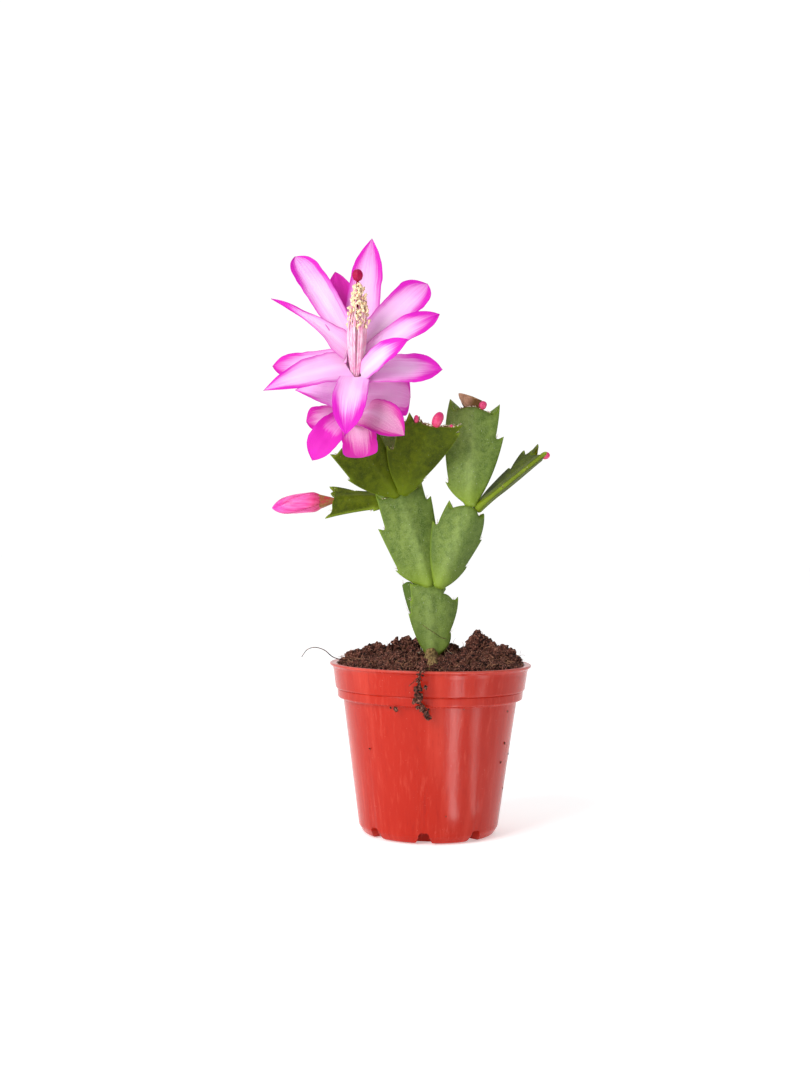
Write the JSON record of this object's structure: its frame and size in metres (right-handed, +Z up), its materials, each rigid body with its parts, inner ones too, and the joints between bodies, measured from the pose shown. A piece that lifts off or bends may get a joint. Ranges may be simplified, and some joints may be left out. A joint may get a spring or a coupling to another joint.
{
  "type": "potted christmas cactus",
  "caption": "Small Christmas cactus in flower in a round plastic nursery pot: flat toothed stem segments, a pink tiered bloom, closed buds and dark peat.",
  "frame": {"origin": "the middle of the pot's flat base, on the surface that the pot stands on", "axes": "+Z up along the pot's axis, -Y towards the front, where the flower looks, +X to the viewer's right"},
  "size_m": [0.0856, 0.0637, 0.1787],
  "materials": {
    "pot_plastic": "satin",
    "soil": "matte",
    "root": "matte",
    "stem_grey_green": "satin",
    "stem_olive": "satin",
    "ovary": "satin",
    "tepals": "satin",
    "stamens": "matte",
    "style": "satin",
    "bud": "satin",
    "small_bud": "satin",
    "husk": "matte"
  },
  "bodies": {
    "root": {"pot": "pot_plastic", "soil": "soil", "root_strand": "root", "segment_a": "stem_grey_green", "segment_b": "stem_grey_green", "segment_c": "stem_grey_green", "segment_d": "stem_olive", "segment_e": "stem_olive", "segment_f": "stem_olive", "segment_g": "stem_grey_green", "segment_h": "stem_grey_green", "segment_i": "stem_olive", "flower_ovary": "ovary", "flower_tepals": "tepals", "flower_stamens": "stamens", "flower_style": "style", "bud_large_base": "ovary", "bud_large": "bud", "bud_1": "small_bud", "bud_2": "small_bud", "bud_3": "small_bud", "bud_4": "small_bud", "bud_5": "small_bud", "dried_husk": "husk"}
  },
  "joints": []
}
